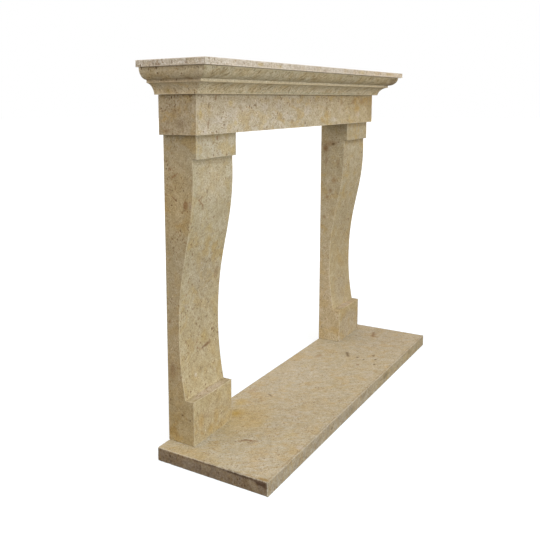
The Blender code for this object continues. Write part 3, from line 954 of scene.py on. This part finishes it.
leftLegLook = {
    "offset": (0.6, 0.2, 1.1), "tints": [("Z", 0.0, 0.95, 0.55, 0.0, (1.0, 0.88, 0.60))], "gritAmount": 0.21,
    "washes": [
        (-558, 72, 957, 130, 12, 45, 0.4, 1, (1.07, 1.08, 1.14)),
        # painted light on the leg's left-facing side: lighter and cooler low down, warmer higher up
        (-670, 150, 350, 15, 100, 300, 0.9, 0.9, (1.06, 1.06, 1.12)),
        (-670, 150, 800, 15, 100, 200, 0.9, 1, (1.08, 1, 0.84)),
        # painted shade and light on the scroll: darker along its down-facing middle, lighter towards the
        # belly under the capital
        (-558, 130, 400, 130, 50, 250, 0.9, 0.9, (0.95, 0.95, 0.98)),
        (-558, 120, 560, 130, 50, 120, 0.9, 0.9, (0.93, 0.93, 0.98)),
        (-558, 88, 850, 130, 30, 80, 0.9, 0.9, (1.08, 1.05, 1.03)),
        (-558, 96, 70, 150, 6, 100, 0.3, 1, (0.94, 0.93, 0.95)),
        # painted light: the plinth's top ledge, shaded by the scroll above it, is lightened
        (-558, 110, 184, 120, 22, 4.5, 0.5, 1, (1.36, 1.37, 1.7)),
        # painted shadow: a darker band at the top of the capital's front, under the frieze
        (-558, 74, 990, 150, 8, 12, 0.7, 1, (0.88, 0.86, 0.79)),
    ],
    "spots": [
        (-556.5, 74, 980, 7, 10, 10, 0.6, 0.8, rust), (-648, 88, 881.5, 4, 10, 4, 0.6, 0.85, umber),
        (-593, 88, 823.6, 4, 10, 8, 0.6, 0.8, umber), (-576, 92, 763, 3, 10, 3, 0.6, 0.8, umber),
        (-555, 110, 710, 22, 20, 20, 0.9, 0.45, honey), (-599, 110, 720, 16, 20, 16, 0.9, 0.45, honey),
        (-611, 115, 671, 4, 10, 4, 0.6, 0.85, umber), (-614, 130, 600, 4, 10, 4, 0.6, 0.85, umber),
        (-570, 130, 597, 5, 10, 5, 0.6, 0.75, chalk), (-560, 135, 573, 4, 10, 4, 0.6, 0.8, umber),
        (-474, 138, 550, 20, 20, 35, 0.9, 0.5, rust), (-636, 142, 508, 6, 10, 6, 0.7, 0.65, rust),
        (-634.5, 144, 472, 12, 10, 10, 0.9, 0.5, (0.3, 0.26, 0.22)),
        (-574.5, 143, 516, 4, 10, 4, 0.6, 0.75, umber), (-573, 145, 450, 4, 10, 5, 0.6, 0.8, umber),
        (-662, 145, 415, 4, 10, 4, 0.6, 0.8, umber), (-508, 145, 454.5, 4, 10, 4, 0.6, 0.75, umber),
        (-471, 145, 403, 4, 10, 4, 0.6, 0.75, umber), (-488, 144, 361, 5, 10, 5, 0.6, 0.9, umber),
        (-535, 143, 345, 40, 20, 30, 0.9, 0.4, honey), (-576, 141, 341, 6, 10, 6, 0.6, 0.85, rust),
        (-573, 141, 322, 6, 10, 6, 0.6, 0.85, rust), (-597, 138, 243, 12, 10, 12, 0.8, 0.55, chalk),
        (-490, 138, 226, 6, 10, 6, 0.6, 0.7, chalk),
        (-628, 96, 110, 22, 10, 35, 0.9, 0.75, (0.36, 0.25, 0.09)),
        (-574, 96, 66, 30, 10, 24, 0.9, 0.75, (0.37, 0.26, 0.09)),
        (-600, 96, 120, 30, 10, 12, 0.9, 0.3, rust), (-604.5, 96, 72, 4, 10, 4, 0.6, 0.85, (0.62, 0.58, 0.5)),
        (-668, 180, 915, 10, 4, 5, 0.7, 0.75, rust), (-668, 176, 904, 10, 4, 4, 0.6, 0.8, umber),
        (-668, 181, 893, 10, 4, 4, 0.6, 0.75, umber), (-668, 172, 868, 10, 3, 4, 0.6, 0.7, umber),
        (-668, 114, 788, 10, 12, 18, 0.5, 0.75, rust),
        (-668, 98, 788, 10, 8, 18, 0.8, 0.5, (0.34, 0.28, 0.24)),
        (-668, 148.5, 801, 10, 5, 5, 0.6, 0.85, umber), (-668, 169, 893, 10, 6, 10, 0.8, 0.65, rust),
        (-668, 164, 785, 10, 4, 4, 0.6, 0.85, umber), (-668, 161, 829, 10, 4, 4, 0.6, 0.8, umber),
        (-668, 120, 831, 10, 4, 4, 0.6, 0.8, umber), (-668, 179.5, 428, 10, 7, 12, 0.8, 0.6, rust),
        (-668, 172, 274, 10, 20, 45, 0.9, 0.45, rust), (-668, 109.5, 125.5, 10, 4, 4, 0.6, 0.8, umber),
        (-668, 137, 135.5, 10, 6, 5, 0.6, 0.85, umber),
    ],
    "strokes": [
        (-616, 90, 809.5, -635, 90, 801, 5, 0.7, rust), (-635, 90, 801, -611, 92, 784, 5, 0.75, rust),
        (-611, 92, 784, -609, 94, 772, 5, 0.7, rust),
        (-564, 143, 314, -549, 143, 312.5, 6, 0.65, (0.27, 0.18, 0.08)),
        (-546, 143, 315, -528, 143, 318, 7, 0.9, (0.17, 0.1, 0.05)),
        (-528, 143, 318, -506, 143, 321, 10, 0.95, (0.19, 0.11, 0.05)),
        (-668, 161, 868, -668, 151, 874, 6, 0.75, rust), (-668, 151, 874, -668, 141, 880, 3.5, 0.65, rust),
        (-668, 163, 812, -668, 149, 801, 4, 0.75, rust),
    ],
}
rightLegLook = {
    "base": (0.362, 0.310, 0.202), "offset": (0.1, 1.4, 0.3), "wear": (0.003, 0.28),
    "tints": [("Z", 0.0, 0.95, 0.50, 0.10, (1.0, 0.88, 0.60))],
    "washes": [
        # painted light: the leg's inner face is lightened low down, where the hearth throws light back onto
        # it
        (448, 150, 120, 10, 200, 420, 0.9, 0.8, (1.24, 1.27, 1.45)),
        (448, 150, 450, 10, 150, 400, 0.9, 0.45, (1.24, 1.28, 1.42)),
        # painted shade: the scroll is darkened along its middle and its lower curve
        (558, 125, 500, 130, 50, 200, 0.9, 0.9, (0.93, 0.94, 0.98)),
        (558, 135, 260, 130, 50, 150, 0.9, 0.9, (0.91, 0.93, 1.05)),
        (558, 96, 70, 150, 6, 100, 0.3, 1, (0.95, 0.98, 1.16)),
        # painted light: the plinth's top ledge, shaded by the scroll above it, is lightened
        (558, 110, 184, 120, 22, 4.5, 0.5, 1, (1.36, 1.37, 1.65)),
    ],
    "spots": [
        (448, 140, 908, 10, 40, 18, 0.9, 0.5, rust), (448, 136, 906, 10, 9, 7, 0.6, 0.85, umber),
        (448, 169, 888, 10, 18, 24, 0.8, 0.85, rust), (448, 165, 835, 10, 12, 40, 0.9, 0.45, rust),
        (448, 112, 825, 10, 12, 30, 0.9, 0.4, rust),
        (448, 130, 752, 10, 18, 20, 0.9, 0.7, (0.26, 0.16, 0.06)),
        (448, 146, 708, 10, 10, 14, 0.8, 0.65, rust), (448, 160, 680, 10, 10, 10, 0.8, 0.65, rust),
        (448, 94, 683, 10, 6, 14, 0.7, 0.75, umber), (448, 109, 593, 10, 10, 14, 0.9, 0.45, rust),
        (448, 172, 591, 10, 10, 12, 0.9, 0.6, rust), (448, 170, 456, 10, 10, 10, 0.9, 0.4, rust),
        (648, 88, 859, 8, 10, 5, 0.6, 0.8, umber), (507, 87.5, 789, 4, 10, 4, 0.6, 0.8, umber),
    ],
}
makeLeg("legStoneLeft", "leg_left", "leg_left_limestone", leftLegLook, 21, legStone)
makeLeg("legStoneRight", "leg_right", "leg_right_limestone", rightLegLook, 22, legStone)

# Cornice: cavetto, fillet and ovolo, mitred at both ends

corniceStone = {
    "footProjection": 0.0174,  # from the frieze's face
    "cavettoHeight": 0.0325,
    "cavettoSweep": 77.0,
    "filletProjection": 0.052,
    "filletHeight": 0.0085,
    "ovoloHeight": 0.033,
    "ovoloProjection": 0.0857,
    "arris": 0.0007,
    "pitch": 0.0028,  # along the section's path
    "crossPitch": 0.011,
    "runPitch": 0.0042,
    "mitreGap": 0.0002,
    "backLift": (0.4, 0.004, 0.007),  # share of the ovolo, lift at the fillet's top and at that share
    "innerTip": 0.002,  # the returns stop this far short of the mitre's knife edge at the wall
    "chips": {"count": 60, "onArris": 0.0012, "radius": (0.0012, 0.0028), "bite": (0.12, 0.30)},
}


def cornicePath(settings):
    # cavetto: a circle's arc through foot and fillet, turning by the sweep; ovolo: a quarter of an ellipse
    foot = np.array([settings["footProjection"], 0.0])
    lip = np.array([settings["filletProjection"], settings["cavettoHeight"]])
    sweep = math.radians(settings["cavettoSweep"])
    chord = lip - foot
    across = np.array([chord[1], -chord[0]])
    centre = (foot + lip) / 2 + across / (2 * math.tan(sweep / 2))
    first = math.atan2(foot[1] - centre[1], foot[0] - centre[0])
    turn = first - sweep * np.linspace(0, 1, 40)
    radius = np.linalg.norm(foot - centre)
    cavetto = centre + radius * np.column_stack([np.cos(turn), np.sin(turn)])
    filletTop = settings["cavettoHeight"] + settings["filletHeight"]
    turn = np.linspace(0, math.pi / 2, 40)
    reach = settings["ovoloProjection"] - settings["filletProjection"]
    ovolo = np.column_stack([
        settings["filletProjection"] + reach * np.sin(turn),
        filletTop + settings["ovoloHeight"] * (1 - np.cos(turn)),
    ])
    return [cavetto, [cavetto[-1], ovolo[0]], ovolo]


def corniceShell(settings, run, backOut):
    path, ends = joinPieces(cornicePath(settings), settings["pitch"])
    # rows on the wall line rise a little ahead of the front path, so that no two lines of the section cross
    share, first, most = settings["backLift"]
    knots = [0, ends[1], ends[1] + (ends[2] - ends[1]) * share, ends[2]]
    lift = np.interp(np.arange(len(path)), knots, [0, first, most, 0])
    back = np.column_stack([np.full(len(path), backOut), path[:, 1] + lift])
    depth = settings["ovoloProjection"] - backOut
    shares = spread(0, depth, settings["crossPitch"]) / depth
    return carriedStone(run, path, back, shares, settings["arris"], [0, ends[0], ends[2]], roundEnds=False)


def makeCornice(settings, frontLook, returnLook):
    friezeLow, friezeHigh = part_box("frieze")
    wallY, faceY, friezeHalf = friezeHigh[1], friezeLow[1], friezeHigh[0]
    friezeDepth = wallY - faceY
    frontReach = friezeHalf + settings["ovoloProjection"]
    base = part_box("cornice_front")[0][2]
    run = spread(-1, 1, settings["runPitch"] / frontReach, 0.0006 / frontReach)
    points, faces, outward, arrisGap = corniceShell(settings, run, -friezeDepth)
    along, out, height = points.T
    length = friezeHalf + out - settings["mitreGap"]
    world = np.column_stack([along * length, faceY - out, base + height])
    chipArrises(world, outward * (0, -1, 1), arrisGap, {**settings["chips"], "seed": 31})
    material = makeLimestone("cornice_front_limestone", frontLook)
    addPiece("corniceStoneFront", world, faces, {"arrisGap": arrisGap}, material,
             "cornice_front")
    returnReach = friezeDepth + settings["ovoloProjection"]
    material = makeLimestone("cornice_return_limestone", returnLook)
    for word, side in (("Left", -1), ("Right", 1)):
        run = spread(0, 1, settings["runPitch"] / returnReach, 0.0006 / returnReach)
        points, faces, outward, arrisGap = corniceShell(settings, run, settings["innerTip"] - friezeDepth)
        along, out, height = points.T
        fromWall = along if side < 0 else 1 - along
        length = friezeDepth + out - settings["mitreGap"]
        world = np.column_stack([side * (friezeHalf + out), wallY - fromWall * length, base + height])
        outward = np.column_stack([side * outward[:, 1], outward[:, 0] * 0, outward[:, 2]])
        chipArrises(world, outward, arrisGap, {**settings["chips"], "seed": 33 + side, "count": 16})
        node = f"cornice_return_{word.lower()}"
        addPiece(f"corniceStone{word}", world, faces, {"arrisGap": arrisGap}, material, node)


corniceFrontLook = {
    "base": (0.456, 0.412, 0.296), "pale": (1.06, 1.10, 1.16), "ochre": (0.98, 0.88, 0.68),
    "offset": (0.8, 0.3, 0.7), "wear": (0.006, 0.85), "worn": (1.22, 1.18, 1.12), "ochreAmount": 0.5,
    "gritAmount": 0.27,
    # painted light and shade: the cavetto is lightened and the ovolo above the fillet a little darkened,
    # which flattens the moulding's shading
    "tints": [("Z", 1.142, 1.150, 1.0, 0.0, (1.09, 1.08, 1.08)),
              ("Z", 1.150, 1.160, 0.0, 1.0, (0.97, 0.96, 0.93))],
    "grains": [((0, -63, 0), (8, 1, 1), 0.034, 0.35, (0.55, 0.66), 0.90, (0.66, 0.61, 0.52)),
               ((0, -63, 0), (5, 1, 1), 0.042, 0.35, (0.59, 0.64), 0.80, (0.62, 0.57, 0.46)),
               ((0, -63, 0), (3, 1, 1), 0.150, 0.5, (0.48, 0.58), 0.60, (0.95, 0.89, 0.77))],
    "washes": [
        (770, -10, 1165, 170, 80, 60, 0.9, 0.9, (0.78, 0.71, 0.66)),
        # painted shade: a darker band along the cornice's foot, just above the joint with the frieze
        (0, 45, 1111.5, 760, 30, 6, 0.6, 1, (0.84, 0.9, 0.94)),
    ],
    "spots": [
        (-161, 30, 1118.4, 6, 20, 12, 0.6, 0.8, umber), (-261, -8, 1174, 14, 20, 12, 0.9, 0.55, rust),
        (49, -8, 1174, 16, 20, 14, 0.9, 0.45, rust), (137, -8, 1174, 22, 20, 16, 0.9, 0.4, rust),
        (472, -8, 1167, 25, 20, 18, 0.9, 0.35, rust),
        (620, -8, 1170, 40, 30, 22, 0.9, 0.55, (0.17, 0.12, 0.06)),
        (720, -8, 1160, 60, 60, 40, 0.9, 0.4, (0.2, 0.15, 0.09)),
        (507, 30, 1138, 25, 20, 14, 0.9, 0.35, rust), (30, 30, 1130, 30, 20, 14, 0.9, 0.35, rust),
    ],
    "strokes": [
        # painted highlight: a light line along the fillet's face
        (-740, 6.5, 1145.5, 740, 6.5, 1145.5, 7.5, 0.55, (0.66, 0.6, 0.45)),
        (-638, -6, 1188, -652, 2, 1168, 6, 0.75, umber), (-448, -6, 1190, -460, 2, 1172, 5, 0.5, umber),
        (-552, -4, 1184, -574, 4, 1166, 5, 0.45, umber), (-545, 22, 1140, -575, 34, 1120, 5, 0.5, umber),
        (-335, 22, 1142, -375, 34, 1120, 5, 0.45, umber),
    ],
}
corniceReturnLook = {
    # painted light: the returns' base is set lighter than the front's, to make up for the shade on these
    # side-facing pieces
    "base": (0.550, 0.490, 0.350), "pale": (1.08, 1.11, 1.18), "ochre": (0.98, 0.88, 0.66),
    "offset": (0.4, 0.5, 1.9), "veins": (0.045, 0.010, 0.5, 0.5), "gritAmount": 0.22,
    # painted light: the return's cavetto is lightened
    "tints": [("Z", 1.142, 1.150, 1.0, 0.0, (1.10, 1.10, 1.12))],
    "grains": [((30, 0, 0), (1, 1, 4), 0.050, 0.9, (0.46, 0.62), 0.6, (0.90, 0.84, 0.72))],
    "washes": [
        # painted shade on the return's fillet, and painted light on the top of its ovolo under the shelf
        (-740, 70, 1144.5, 30, 240, 8, 0.6, 1, (0.8, 0.77, 0.75)),
        (-765, 70, 1184, 40, 260, 12, 0.9, 1, (1.14, 1.12, 1.1)),
    ],
    "spots": [
        (-765, 130, 1179, 20, 6, 7, 0.6, 0.85, umber), (-715, 141, 1117, 30, 14, 10, 0.8, 0.6, honey),
        (-755, 165, 1164, 30, 12, 14, 0.9, 0.5, honey), (-745, 42, 1150, 30, 16, 10, 0.9, 0.45, rust),
    ],
    "strokes": [
        (-712, 180, 1142, -712, 163, 1131, 5, 0.6, rust), (-712, 163, 1131, -704, 153, 1115, 5, 0.55, rust),
        (-716, 137, 1141, -712, 118, 1131, 5, 0.6, rust), (-712, 118, 1131, -706, 112, 1112, 5, 0.65, rust),
        (-768, 155, 1187, -750, 157, 1162, 6, 0.4, rust),
    ],
}
makeCornice(corniceStone, corniceFrontLook, corniceReturnLook)
